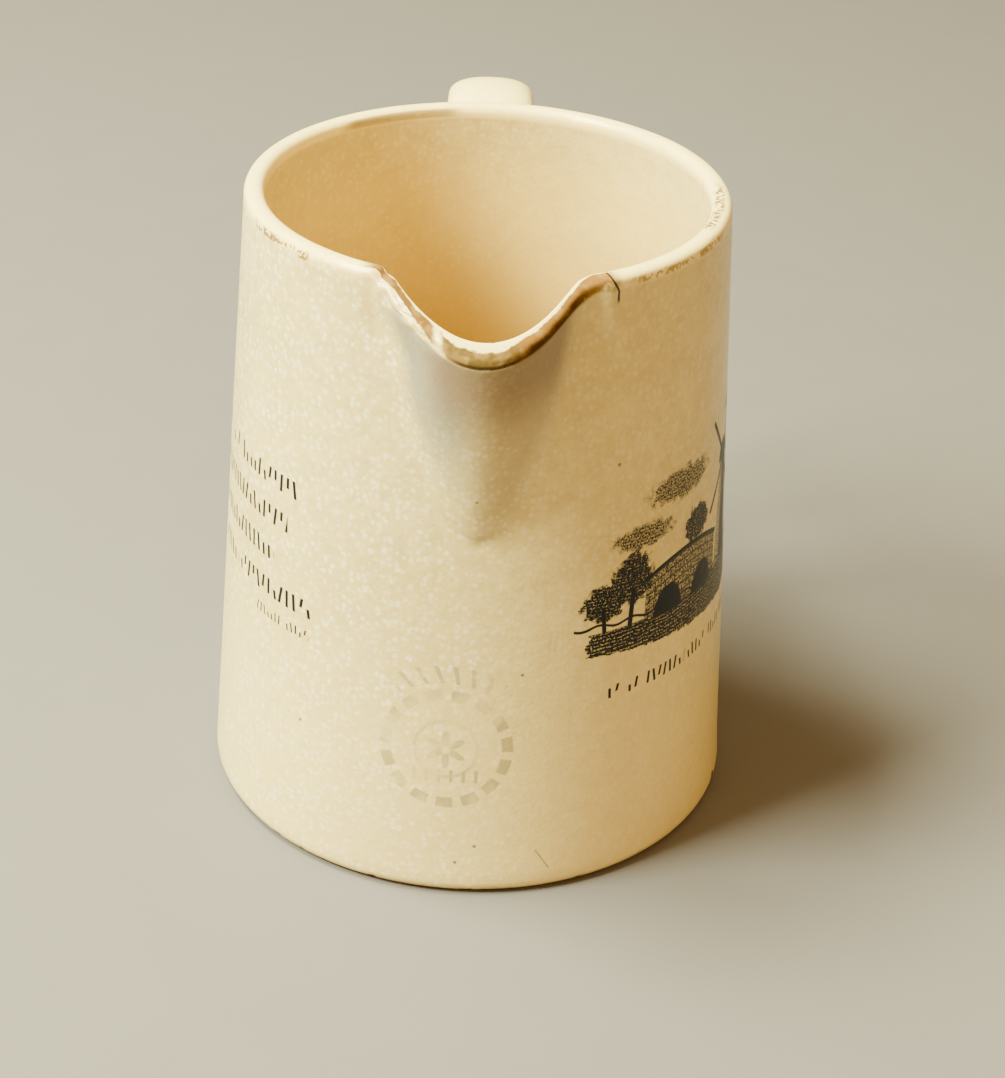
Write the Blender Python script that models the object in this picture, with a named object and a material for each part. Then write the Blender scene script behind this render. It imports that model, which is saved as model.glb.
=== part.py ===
"""A one-pint ale jug in cream glazed earthenware.

It is one fired piece: a straight-sided body that narrows to the rim, a beak
spout that grows out of the wall at the front, and a strap handle at the back.
The body stands on a ring and is hollow, with an even wall.

Metres, +Z up. The spout points to -Y and the handle to +Y. The origin is on
the standing plane, under the middle of the jug's box.
"""

import math

import bmesh
import bpy
from mathutils import Vector
from mathutils.geometry import interpolate_bezier

# Body
HEIGHT = 0.1170         # standing plane to the top of the rim
RIM_RADIUS = 0.0424     # outside of the wall at the rim
BASE_RADIUS = 0.04925   # outside of the wall, carried down to the standing plane
WALL = 0.0039           # thickness of the wall
RIM_ROUND = 0.49 * WALL   # height of the rounding, which runs over the whole rim and lip
RIM_FULLNESS = 0.86     # 1 makes the rim a half round, less makes it squarer
BASE_ROUND = 0.0026     # radius between the wall and the standing ring
RING_WIDTH = 0.0065     # flat width of the standing ring
RECESS = 0.0014         # depth of the hollow under the base
RECESS_SLOPE = 0.0016   # width of the slope into that hollow
FLOOR = 0.0046          # thickness of the floor
FLOOR_ROUND = 0.0065    # radius between the floor and the inside of the wall

# Spout
SPOUT_DEPTH = 0.0452        # length of the beak, down from the rim
SPOUT_HALF_WIDTH = 0.0205   # half its width on the wall, at rim height
SPOUT_REACH = 0.0130        # how far its front would stand out at rim height
SPOUT_TOE = 0.06            # roundness of the beak's lower end
SPOUT_FULLNESS = 2.7        # how fast its outside falls away to the sides at rim height
TOE_FULLNESS = 1.3          # the same at its root, where it is blunter
CHANNEL_LIFT = 0.0072       # how much higher than the beak the channel inside it starts
CHANNEL_FULLNESS = 2.4      # how fast the channel falls away to the sides at rim height
LIP_THICKENING = 0.0009     # how much thicker than the wall the beak is at rim height
LIP_SLOPE = 0.5             # fall of the lip for each metre forward
LIP_SETBACK = 0.0045        # how far behind the outside of the rim the fall starts
NOTCH_BLEND = math.radians(4.5)   # angle over which the rim turns down into the lip

SPOUT_ROOT = HEIGHT - SPOUT_DEPTH
CHANNEL_ROOT = SPOUT_ROOT + CHANNEL_LIFT
CHANNEL_REACH = SPOUT_REACH - LIP_THICKENING
LIP_START = RIM_RADIUS - LIP_SETBACK
NOTCH_ANGLE = math.asin(SPOUT_HALF_WIDTH / RIM_RADIUS)

# Handle
HANDLE_WIDTH = 0.0176       # across the strap at its top
HANDLE_END_WIDTH = 0.0135   # across the strap at its lower end
HANDLE_THICK = 0.0082       # through the strap at its top
HANDLE_END_THICK = 0.0066   # through the strap at its lower end
HANDLE_SQUARENESS = 2.4     # 2 makes the section an oval, more makes it squarer
HANDLE_DROP = 0.0022        # rim down to the highest part of the handle
HANDLE_ARCH = 0.0045        # rise of the handle from the wall to that part
FINGER_GAP = 0.0250         # clear space between the wall and the grip
GRIP_DROP = 0.0247          # highest part of the handle down to its outermost part
HANDLE_FOOT = 0.0300        # height at which the handle comes back to the wall
HANDLE_FLARE = 0.0042       # growth of the strap where it meets the wall
FLARE_LENGTH = 0.0100       # length over which it grows
HANDLE_BURIED = 0.54 * WALL   # depth of its ends in the wall

# Bends of the handle, each as a share of the stretch that it shapes
CREST_SHARE = 0.50          # how far out, of the handle's reach, its highest part lies
SHOULDER_BEND = 0.74        # 0.55 turns the handle down in an oval, more turns it later
ROOT_BEND = 0.35
CREST_BEND = 0.40
GRIP_BEND = 0.50
FOOT_OUT_BEND = 0.50
FOOT_UP_BEND = 0.20

# Mesh
FRONT_ARC = math.radians(37.5)   # half the arc around the spout that has narrow faces
FRONT_COLUMNS = 30
BACK_COLUMNS = 38
SPOUT_ROWS = 9
LIP_ROWS = 4
SHOULDER_SHARE = 0.62            # how far up the beak its rows stop being level
ROW_CROWDING = 1.5               # 1 spaces the beak's rows evenly, more crowds them at its root
RIM_ROWS = 8
BASE_ROWS = 4
FLOOR_ROWS = 5
LIP_ROUNDS = 12                  # rounds of the search for the lip's height
HANDLE_STEPS = (7, 9, 12)        # stretches from root to crest, crest to grip, grip to foot
HANDLE_SIDES = 16
CREASE = math.radians(40)        # sharper edges than this stay sharp when shaded

# Glaze
GLAZE_COLOUR = (0.72, 0.62, 0.43, 1.0)
GLAZE_ROUGHNESS = 0.28


def wall_radius(z):
    """Outside radius of the plain wall at height z."""
    return BASE_RADIUS + (RIM_RADIUS - BASE_RADIUS) * z / HEIGHT


def beak(angle, z, root, reach, fullness):
    """How far the beak, or its channel, stands out of the wall at an angle from the front."""
    rise = (z - root) / (HEIGHT - root)
    if rise <= 0.0:
        return 0.0
    half_angle = math.asin(SPOUT_HALF_WIDTH * math.sqrt(rise) / wall_radius(z))
    share = abs(angle) / half_angle
    if share >= 1.0:
        return 0.0
    front = reach * math.sqrt(rise * rise + 2.0 * SPOUT_TOE * rise)
    return front * (1.0 - share * share) ** (TOE_FULLNESS + (fullness - TOE_FULLNESS) * rise)


def outside(angle, z):
    """Outside radius with the beak."""
    return wall_radius(z) + beak(angle, z, SPOUT_ROOT, SPOUT_REACH, SPOUT_FULLNESS)


def inside(angle, z):
    """Inside radius with the channel."""
    return wall_radius(z) - WALL + beak(angle, z, CHANNEL_ROOT, CHANNEL_REACH, CHANNEL_FULLNESS)


def smooth_step(share):
    share = min(1.0, max(0.0, share))
    return share * share * (3.0 - 2.0 * share)


def top_height(angle, face):
    """Height of the rim over one face of the wall: level, then falling forward as the lip."""
    notch = smooth_step((NOTCH_ANGLE - abs(angle)) / NOTCH_BLEND)
    z = HEIGHT
    for _ in range(LIP_ROUNDS):
        forward = face(angle, z) * math.cos(angle)
        z = HEIGHT - notch * LIP_SLOPE * max(0.0, forward - LIP_START)
    return z


def wall_heights(start, root, end):
    """Heights up one face of the wall, closer together where the beak grows out of it."""
    shoulder = root + SHOULDER_SHARE * (HEIGHT - root)
    heights = [start]
    for row in range(SPOUT_ROWS):
        heights.append(root + (shoulder - root) * (row / (SPOUT_ROWS - 1)) ** ROW_CROWDING)
    for row in range(1, LIP_ROWS + 1):
        heights.append(shoulder + (end - shoulder) * row / LIP_ROWS)
    return heights


def power(value, exponent):
    """A signed power, for sections between an oval and a rectangle."""
    return math.copysign(abs(value) ** exponent, value)


def section(angle):
    """(radius, height) points from under the base, up the outside, over the rim and down inside."""
    ring_outside = wall_radius(BASE_ROUND) - BASE_ROUND
    ring_inside = ring_outside - RING_WIDTH
    points = [(ring_inside - RECESS_SLOPE, RECESS), (ring_inside, 0.0)]
    for row in range(BASE_ROWS):
        turn = 0.5 * math.pi * row / BASE_ROWS
        points.append((ring_outside + BASE_ROUND * math.sin(turn), BASE_ROUND * (1.0 - math.cos(turn))))

    outer_edge = top_height(angle, outside) - RIM_ROUND
    inner_edge = top_height(angle, inside) - RIM_ROUND
    for z in wall_heights(BASE_ROUND, SPOUT_ROOT, outer_edge):
        points.append((outside(angle, z), z))

    outer_radius = outside(angle, outer_edge)
    inner_radius = inside(angle, inner_edge)
    middle = 0.5 * (outer_radius + inner_radius)
    half = 0.5 * (outer_radius - inner_radius)
    for row in range(1, RIM_ROWS):
        turn = math.pi * row / RIM_ROWS
        across = power(math.cos(turn), RIM_FULLNESS)
        edge = 0.5 * (outer_edge * (1.0 + across) + inner_edge * (1.0 - across))
        points.append((middle + half * across, edge + RIM_ROUND * math.sin(turn) ** RIM_FULLNESS))

    floor = RECESS + FLOOR
    corner = floor + FLOOR_ROUND
    for z in reversed(wall_heights(corner, CHANNEL_ROOT, inner_edge)):
        points.append((inside(angle, z), z))
    corner_centre = wall_radius(corner) - WALL - FLOOR_ROUND
    for row in range(1, FLOOR_ROWS + 1):
        turn = 0.5 * math.pi * row / FLOOR_ROWS
        points.append((corner_centre + FLOOR_ROUND * math.cos(turn), corner - FLOOR_ROUND * math.sin(turn)))
    return points


def column_angles():
    """Angles from the front, with narrow columns around the spout."""
    angles = []
    for column in range(FRONT_COLUMNS):
        angles.append(-FRONT_ARC + 2.0 * FRONT_ARC * column / FRONT_COLUMNS)
    for column in range(BACK_COLUMNS):
        angles.append(FRONT_ARC + (2.0 * math.pi - 2.0 * FRONT_ARC) * column / BACK_COLUMNS)
    return angles


def around(angle):
    """The same angle between minus pi and pi, so that the spout's rule reads it from the front."""
    return math.remainder(angle, 2.0 * math.pi)


def loft(name, rings):
    """A closed body: each loop of points is joined to the next, and both ends are capped."""
    bm = bmesh.new()
    loops = [[bm.verts.new(point) for point in ring] for ring in rings]
    for first, second in zip(loops, loops[1:]):
        for i in range(len(first)):
            bm.faces.new((first[i - 1], first[i], second[i], second[i - 1]))
    bm.faces.new(loops[0])
    bm.faces.new(loops[-1])
    bmesh.ops.recalc_face_normals(bm, faces=bm.faces)
    mesh = bpy.data.meshes.new(name)
    bm.to_mesh(mesh)
    bm.free()
    mesh.shade_smooth()
    mesh.set_sharp_from_angle(angle=CREASE)
    return bpy.data.objects.new(name, mesh)


def make_body():
    columns = [(angle, section(around(angle))) for angle in column_angles()]
    rings = []
    for station in range(len(columns[0][1])):
        ring = []
        for angle, points in columns:
            radius, height = points[station]
            ring.append((radius * math.sin(angle), -radius * math.cos(angle), height))
        rings.append(ring)
    return loft("jug", rings)


def handle_route():
    """Points in the plane x = 0 along the middle of the strap, from the top root to the lower one."""
    crest_height = HEIGHT - HANDLE_DROP - 0.5 * HANDLE_THICK
    root_height = crest_height - HANDLE_ARCH
    grip_height = crest_height - GRIP_DROP
    root = Vector((0.0, wall_radius(root_height) - HANDLE_BURIED, root_height))
    grip = Vector((0.0, wall_radius(grip_height) + FINGER_GAP + 0.5 * HANDLE_THICK, grip_height))
    foot = Vector((0.0, wall_radius(HANDLE_FOOT) - HANDLE_BURIED, HANDLE_FOOT))
    crest = Vector((0.0, root.y + CREST_SHARE * (grip.y - root.y), crest_height))

    out = Vector((0.0, 1.0, 0.0))
    up = Vector((0.0, 0.0, 1.0))
    run = out * (crest.y - root.y)
    turn = out * (grip.y - crest.y)
    drop = up * GRIP_DROP
    fall = up * (grip.z - foot.z)
    reach = out * (grip.y - foot.y)
    bends = (
        (root, root + ROOT_BEND * run + 0.5 * up * HANDLE_ARCH, crest - CREST_BEND * run, crest),
        (crest, crest + SHOULDER_BEND * turn, grip + SHOULDER_BEND * drop, grip),
        (grip, grip - GRIP_BEND * fall, foot + FOOT_OUT_BEND * reach + FOOT_UP_BEND * fall, foot),
    )
    route = []
    for bend, steps in zip(bends, HANDLE_STEPS):
        route += interpolate_bezier(*bend, steps + 1)[:-1]
    return route + [foot]


def make_handle():
    route = handle_route()
    lengths = [0.0]
    for first, second in zip(route, route[1:]):
        lengths.append(lengths[-1] + (second - first).length)
    rings = []
    for index, centre in enumerate(route):
        share = lengths[index] / lengths[-1]
        to_end = min(lengths[index], lengths[-1] - lengths[index])
        flare = HANDLE_FLARE * (1.0 - smooth_step(to_end / FLARE_LENGTH))
        half_width = 0.5 * (HANDLE_WIDTH + (HANDLE_END_WIDTH - HANDLE_WIDTH) * share + flare)
        half_thick = 0.5 * (HANDLE_THICK + (HANDLE_END_THICK - HANDLE_THICK) * share + flare)
        before = route[max(index - 1, 0)]
        after = route[min(index + 1, len(route) - 1)]
        square_on = Vector((0.0, 1.0 if share < 0.5 else -1.0, 0.0))
        along = square_on.lerp((after - before).normalized(), smooth_step(to_end / FLARE_LENGTH)).normalized()
        across = Vector((1.0, 0.0, 0.0))
        outward = across.cross(along)
        ring = []
        for side in range(HANDLE_SIDES):
            turn = 2.0 * math.pi * (side + 0.5) / HANDLE_SIDES
            wide = half_width * power(math.cos(turn), 2.0 / HANDLE_SQUARENESS)
            thick = half_thick * power(math.sin(turn), 2.0 / HANDLE_SQUARENESS)
            ring.append(centre + across * wide + outward * thick)
        rings.append(ring)
    return loft("handle_form", rings)


def glaze():
    material = bpy.data.materials.new("cream_glaze")
    material.use_nodes = True
    shader = material.node_tree.nodes["Principled BSDF"]
    shader.inputs["Base Color"].default_value = GLAZE_COLOUR
    shader.inputs["Roughness"].default_value = GLAZE_ROUGHNESS
    shader.inputs["Metallic"].default_value = 0.0
    return material


def build():
    for old in list(bpy.data.objects):
        bpy.data.objects.remove(old, do_unlink=True)
    scene = bpy.context.scene.collection

    jug = make_body()
    handle = make_handle()
    front = min(vertex.co.y for vertex in jug.data.vertices)
    back = max(vertex.co.y for vertex in handle.data.vertices)

    axis = bpy.data.objects.new("body_axis", None)
    axis.location.y = -0.5 * (front + back)
    scene.objects.link(axis)
    for piece in (jug, handle):
        piece.parent = axis
        scene.objects.link(piece)

    # The handle is a guide that the body is joined to, so the jug stays one solid.
    handle.hide_render = True
    handle.display_type = "WIRE"
    join = jug.modifiers.new("join_handle", "BOOLEAN")
    join.operation = "UNION"
    join.solver = "EXACT"
    join.object = handle

    material = glaze()
    jug.data.materials.append(material)
    handle.data.materials.append(material)


build()
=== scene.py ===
"""A one-pint ale measure jug in cream glazed earthenware, dressed for its picture.

One Geometry Nodes tree grows the fired body, with its beak spout, worn lip and foot ring, and the
strap handle, and joins the two as the potter does. Five procedural materials dress it: the plain
glaze, the worn and shaded one of the rim, beak and foot, and one each for the verse, the view and
the mark. Their colours also hold painted light and shade: a painted highlight on the rim's top and
the handle, painted glare low on the wall, and painted shade on the beak, under the lip and inside.

Metres, +Z up, in the frame of the packed model. The spout points to -Y and the handle to +Y.
"""

import math
from types import SimpleNamespace

import bmesh
import bpy
from mathutils import Matrix, Vector
from mathutils.geometry import interpolate_bezier


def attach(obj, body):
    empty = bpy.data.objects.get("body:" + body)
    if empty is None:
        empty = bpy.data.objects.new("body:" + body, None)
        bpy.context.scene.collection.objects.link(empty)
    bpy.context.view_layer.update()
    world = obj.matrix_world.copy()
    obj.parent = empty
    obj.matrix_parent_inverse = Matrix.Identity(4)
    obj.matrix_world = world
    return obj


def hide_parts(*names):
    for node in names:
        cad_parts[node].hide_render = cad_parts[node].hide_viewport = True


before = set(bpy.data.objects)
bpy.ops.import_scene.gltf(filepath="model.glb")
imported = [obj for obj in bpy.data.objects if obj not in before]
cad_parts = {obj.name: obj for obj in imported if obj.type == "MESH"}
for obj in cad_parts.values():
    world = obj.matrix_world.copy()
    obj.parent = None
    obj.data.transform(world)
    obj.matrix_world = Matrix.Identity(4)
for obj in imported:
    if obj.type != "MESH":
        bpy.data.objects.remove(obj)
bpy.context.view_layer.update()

# Sizes of the jug, as its solid has them
JUG = SimpleNamespace(
    height=0.1170,
    rim_radius=0.0424,
    base_radius=0.04925,
    wall=0.0039,
    rim_round=0.49 * 0.0039,
    rim_fullness=0.86,
    base_round=0.0026,
    ring_width=0.0065,
    recess=0.0014,
    recess_slope=0.0016,
    floor=0.0046,
    floor_round=0.0065,
    spout_root=0.1170 - 0.0452,
    spout_half_width=0.0205,
    spout_reach=0.0130,
    spout_toe=0.06,
    spout_fullness=2.7,
    toe_fullness=1.3,
    channel_root=0.1170 - 0.0452 + 0.0072,
    channel_reach=0.0121,
    channel_fullness=2.4,
    lip_slope=0.5,
    lip_start=0.0379,
    notch_angle=math.asin(0.0205 / 0.0424),
    notch_blend=math.radians(4.5),
    handle_width=0.0176,
    handle_end_width=0.0135,
    handle_thick=0.0082 * 0.985,
    handle_end_thick=0.0066,
    handle_squareness=2.4,
    handle_drop=0.0022,
    handle_arch=0.0045,
    finger_gap=0.0250,
    grip_drop=0.0247,
    handle_foot=0.0300,
    handle_flare=0.0042,
    flare_length=0.0100,
    handle_buried=0.54 * 0.0039,
    crest_share=0.50,
    shoulder_bend=0.74,
    root_bend=0.35,
    crest_bend=0.40,
    grip_bend=0.50,
    foot_out_bend=0.50,
    foot_up_bend=0.20,
    axis_y=-0.011582,
)

# Wear that only the look has
WEAR = SimpleNamespace(
    wobble=0.00016,
    chip_depth=0.00042,
    lip_chip_depth=0.0005,
    ear_rise=0.0004,
    lip_spread=0.0012,
    corner_drop=0.0007,
    lip_thin=0.0008,
    lip_squareness=0.20,
)

COLUMNS = 384
BODY_ROWS = (
    ("recess", 10),
    ("recess_slope", 3),
    ("ring", 5),
    ("heel", 7),
    ("lower_wall", 32),
    ("beak_wall", 64),
    ("rim", 26),
    ("channel", 42),
    ("inner_wall", 20),
    ("floor_corner", 8),
    ("floor", 8),
)
HANDLE_COLUMNS = 52
HANDLE_ROWS = 110
LIP_ROUNDS = 5

# Camera and lights, found from the photograph
VIEW_HEIGHT = math.radians(30.24)
VIEW_ROLL = math.radians(2.57)
VIEW_TURN = math.radians(1.0)
VIEW_PLACE = (0.005122, -0.396303, 0.276973)
FOCAL_SHARE = 2438.0 / 1078.0

LIGHT_SIZE = 0.34
LIGHT_TARGET = (0.0, -0.01, 0.055)
LIGHTS = (
    ("window", (-0.666, -0.308, 0.810), 50.0, (1.0, 0.99, 0.70)),
    ("ceiling", (-0.420, 0.063, 1.015), 44.0, (1.0, 0.99, 0.68)),
)
ROOM_GLOW = (1.0, 0.60, 0.23, 1.0)
ROOM_BRIGHTNESS = 1.35
FLOOR = SimpleNamespace(reach=6.0, bend_start=0.55, bend=0.45, bend_steps=16, top=1.6)

MM = 1000.0

# Faces that take the worn and shaded glaze, in metres and radians
WORN = SimpleNamespace(rim_depth=0.0065, beak_angle=0.62, beak_depth=0.046, foot_height=0.0095)

# Left, right, low and high edges of the printed and etched places, in mm round and up the wall
VERSE_AREA = (-104.0, -26.0, 40.0, 94.0)
VIEW_AREA = (13.0, 112.0, 34.0, 86.0)
MARK_AREA = (-23.0, 15.0, 12.0, 51.0)
PRINT_PROUD = 0.0009

# The verse: the top of its first row of strokes, the step down, and where each row ends at its right
VERSE_TOP = 92.0
VERSE_PITCH = 7.2
VERSE_ROW_ENDS = (-67.0, -69.0, -34.0, -36.5, -40.3, -29.5)

# The view: the centre and half size of each patch, the ends and width of each trunk, and the
# ends of each sail
ARCHES = (((38.6, 50.4), (3.9, 5.6)), ((49.6, 50.4), (3.9, 5.6)))
PARAPET = 61.4
TREES = (
    ((23.4, 57.0), (4.4, 3.6)),
    ((29.4, 60.2), (4.6, 4.8)),
    ((46.6, 64.6), (4.2, 3.4)),
    ((78.5, 66.4), (6.6, 7.0)),
)
TRUNKS = (
    ((23.8, 51.4), (23.4, 56.0), 0.9),
    ((29.2, 51.4), (29.6, 58.0), 1.1),
    ((79.4, 50.8), (78.8, 62.0), 1.1),
)
SAILS = (((53.0, 80.4), (66.8, 63.2)), ((52.6, 63.8), (67.0, 79.6)))
CLOUDS = (
    ((31.6, 67.8), (6.8, 2.2)),
    ((41.0, 74.6), (8.6, 2.8)),
    ((67.0, 80.6), (6.0, 2.0)),
    ((88.0, 78.8), (8.0, 2.6)),
)
BUSHES = (((92.0, 54.4), (7.0, 2.6)), ((69.6, 53.4), (5.6, 2.4)))

# The etched mark: its middle, and the radius of its dashes, its hoop and its upper strokes
MARK_MIDDLE = (-4.0, 30.5)
DASH_RING = 10.9
DASHES = 15
HOOP = 5.6
UPPER_STROKES = 15.0

# Specks that the real jug has, in mm round and up the wall
SPECKS = SimpleNamespace(
    plain=((-32.8, 28.5), (1.7, 10.5)),
    worn=((-1.7, 7.0),),
    view=((24.8, 83.0), (30.2, 63.5)),
    mark=((8.9, 45.5),),
    radius=0.32,
)

# Colours of the glaze, its stains, its painted light and shade, the ink, the bare clay and the floor
COLOUR = SimpleNamespace(
    cream=(0.60, 0.485, 0.165, 1.0),
    pale_cream=(0.70, 0.58, 0.215, 1.0),
    mottle=(0.47, 0.375, 0.12, 1.0),
    pits=(0.38, 0.31, 0.11, 1.0),
    lower_wall=(0.84, 0.70, 0.26, 1.0),
    painted_highlight=(0.95, 0.79, 0.27, 1.0),
    fleck=(0.94, 0.88, 0.56, 1.0),
    tea=(0.78, 0.58, 0.12, 1.0),
    deep_amber_stain_and_shade=(0.47, 0.29, 0.035, 1.0),
    craze=(0.38, 0.27, 0.14, 1.0),
    speck=(0.10, 0.07, 0.04, 1.0),
    ink=(0.022, 0.026, 0.036, 1.0),
    dense_ink=(0.003, 0.0035, 0.006, 1.0),
    etched=(0.36, 0.31, 0.13, 1.0),
    painted_grey_shade=(0.22, 0.21, 0.16, 1.0),
    brown_stain_and_shade=(0.36, 0.25, 0.11, 1.0),
    painted_lip_shade=(0.13, 0.085, 0.05, 1.0),
    run=(0.24, 0.15, 0.07, 1.0),
    olive_clay=(0.075, 0.048, 0.012, 1.0),
    tan_clay=(0.110, 0.050, 0.010, 1.0),
    brown_clay=(0.160, 0.075, 0.014, 1.0),
    pale_clay=(0.28, 0.17, 0.05, 1.0),
    burnt=(0.045, 0.022, 0.007, 1.0),
    chipped=(0.60, 0.45, 0.16, 1.0),
    groove=(0.02, 0.012, 0.006, 1.0),
    crack=(0.02, 0.012, 0.008, 1.0),
    nick=(0.14, 0.072, 0.02, 1.0),
    foot_edge=(0.30, 0.19, 0.08, 1.0),
    dirt=(0.05, 0.035, 0.025, 1.0),
    floor=(0.118, 0.114, 0.108, 1.0),
    pale_floor=(0.128, 0.124, 0.117, 1.0),
)


class Value:
    """A number that a node gives. A sum written with it adds the Math node that works it out."""

    def __init__(self, tree, socket):
        self.tree = tree
        self.socket = socket

    def other(self, name):
        """Another output of the same node."""
        return Value(self.tree, self.socket.node.outputs[name])

    def sum(self, operation, *numbers):
        return self.tree.node("ShaderNodeMath", {"operation": operation}, dict(enumerate(numbers)))

    def __add__(self, number):
        return self.sum("ADD", self, number)

    def __radd__(self, number):
        return self.sum("ADD", number, self)

    def __sub__(self, number):
        return self.sum("SUBTRACT", self, number)

    def __rsub__(self, number):
        return self.sum("SUBTRACT", number, self)

    def __mul__(self, number):
        return self.sum("MULTIPLY", self, number)

    def __rmul__(self, number):
        return self.sum("MULTIPLY", number, self)

    def __truediv__(self, number):
        return self.sum("DIVIDE", self, number)

    def __rtruediv__(self, number):
        return self.sum("DIVIDE", number, self)

    def __pow__(self, number):
        return self.sum("POWER", self, number)

    def __abs__(self):
        return self.sum("ABSOLUTE", self)

    def __gt__(self, number):
        return self.sum("GREATER_THAN", self, number)

    def __lt__(self, number):
        return self.sum("LESS_THAN", self, number)


class Tree:
    """A node tree that is built one node at a time."""

    def __init__(self, nodes):
        self.nodes = nodes

    def node(self, kind, settings=None, given=None, output=0):
        """Adds a node: its settings first, then the value or the link of each named socket."""
        made = self.nodes.nodes.new(kind)
        for name, setting in (settings or {}).items():
            setattr(made, name, setting)
        for name, value in (given or {}).items():
            for item in value if isinstance(value, list) else [value]:
                if isinstance(item, Value):
                    self.nodes.links.new(item.socket, made.inputs[name])
                else:
                    made.inputs[name].default_value = item
        return Value(self, made.outputs[output]) if made.outputs else None


def math_of(operation, value, *numbers):
    return value.sum(operation, value, *numbers)


def sine(value):
    return math_of("SINE", value)


def cosine(value):
    return math_of("COSINE", value)


def square_root(value):
    return math_of("SQRT", value)


def whole(value):
    return math_of("FLOOR", value)


def part_of(value):
    return math_of("FRACT", value)


def larger(value, number):
    return math_of("MAXIMUM", value, number)


def smaller(value, number):
    return math_of("MINIMUM", value, number)


def largest(*values):
    top = values[0]
    for value in values[1:]:
        top = larger(top, value)
    return top


def between_0_and_1(value):
    return smaller(larger(value, 0.0), 1.0)


def step(value, low, high):
    """Rises smoothly from 0 to 1 as the value goes from low to high, which may be the lower one."""
    settings = {"interpolation_type": "SMOOTHSTEP"}
    return value.tree.node("ShaderNodeMapRange", settings, {0: value, 1: low, 2: high})


def signed_power(value, exponent):
    return math_of("SIGN", value) * abs(value) ** exponent


def choose(mask, first, second):
    """The first value where the mask is 0 and the second where it is 1."""
    return first + mask * (second - first)


def vector(tree, x, y, z):
    return tree.node("ShaderNodeCombineXYZ", None, {0: x, 1: y, 2: z})


def parts(tree, source):
    split = tree.node("ShaderNodeSeparateXYZ", None, {0: source})
    return split, split.other("Y"), split.other("Z")


def noise(tree, place, scale, detail=2.0, roughness=0.5):
    given = {"Vector": place, "Scale": scale, "Detail": detail, "Roughness": roughness}
    return tree.node("ShaderNodeTexNoise", {"normalize": True}, given)


# The shape of the jug


def wall_radius(size, z):
    """Outside radius of the plain wall at height z, which may be a number or a node's value."""
    return size.base_radius + (size.rim_radius - size.base_radius) * z / size.height


def beak(size, away, z, root, reach, fullness):
    """How far the beak, or the channel inside it, stands out of the wall at an angle from the front."""
    rise = larger((z - root) / (size.height - root), 0.0)
    half_angle = math_of("ARCSINE", size.spout_half_width * square_root(rise) / wall_radius(size, z))
    share = away / larger(half_angle, 0.0001)
    left = larger(1.0 - share * share, 0.0)
    front = reach * square_root(rise * rise + 2.0 * size.spout_toe * rise)
    return front * left ** (size.toe_fullness + (fullness - size.toe_fullness) * rise)


def outside(size, away, z):
    spout = beak(size, away, z, size.spout_root, size.spout_reach, size.spout_fullness)
    return wall_radius(size, z) + spout


def inside(size, away, z):
    channel = beak(size, away, z, size.channel_root, size.channel_reach, size.channel_fullness)
    return wall_radius(size, z) - size.wall + channel


def top_height(size, angle, away, notch, face):
    """Height of the rim over one face of the wall: level, then falling forward as the lip."""
    turned = cosine(angle)
    z = 0.0 * away + size.height
    for _ in range(LIP_ROUNDS):
        past = larger(face(size, away, z) * turned - size.lip_start, 0.0)
        z = size.height - notch * size.lip_slope * past
    return z


def lip_corner(angle, drop):
    """How far the lip steps down at its sharp left corner."""
    return drop * step(angle, -0.434, -0.416) * step(angle, -0.12, -0.34)


def new_shape(name, sizes):
    """An empty Geometry Nodes tree with one named input for each size."""
    group = bpy.data.node_groups.new(name, "GeometryNodeTree")
    group.interface.new_socket(name="Mesh", in_out="OUTPUT", socket_type="NodeSocketGeometry")
    numbers = {}
    for key, number in sizes.items():
        socket = group.interface.new_socket(
            name=key.replace("_", " ").capitalize(), in_out="INPUT", socket_type="NodeSocketFloat"
        )
        numbers[socket.identifier] = number
    tree = Tree(group)
    entry = tree.node("NodeGroupInput")
    named = {}
    for key in sizes:
        named[key] = entry.other(key.replace("_", " ").capitalize())
    return tree, SimpleNamespace(**named), numbers


def grid(tree, columns, rows):
    """A flat sheet of that many faces, and each point's column share and row number."""
    given = {"Size X": 1.0, "Size Y": 1.0, "Vertices X": columns + 1, "Vertices Y": rows + 1}
    sheet = tree.node("GeometryNodeMeshGrid", None, given)
    across, up, _ = parts(tree, tree.node("GeometryNodeInputPosition"))
    return sheet, across + 0.5, (up + 0.5) * float(rows)


def placed(tree, sheet, place):
    """The sheet wrapped into a closed form, with its seam and both its ends welded."""
    moved = tree.node("GeometryNodeSetPosition", None, {"Geometry": sheet, "Position": place})
    return tree.node("GeometryNodeMergeByDistance", None, {"Geometry": moved, "Distance": 0.000001})


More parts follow.
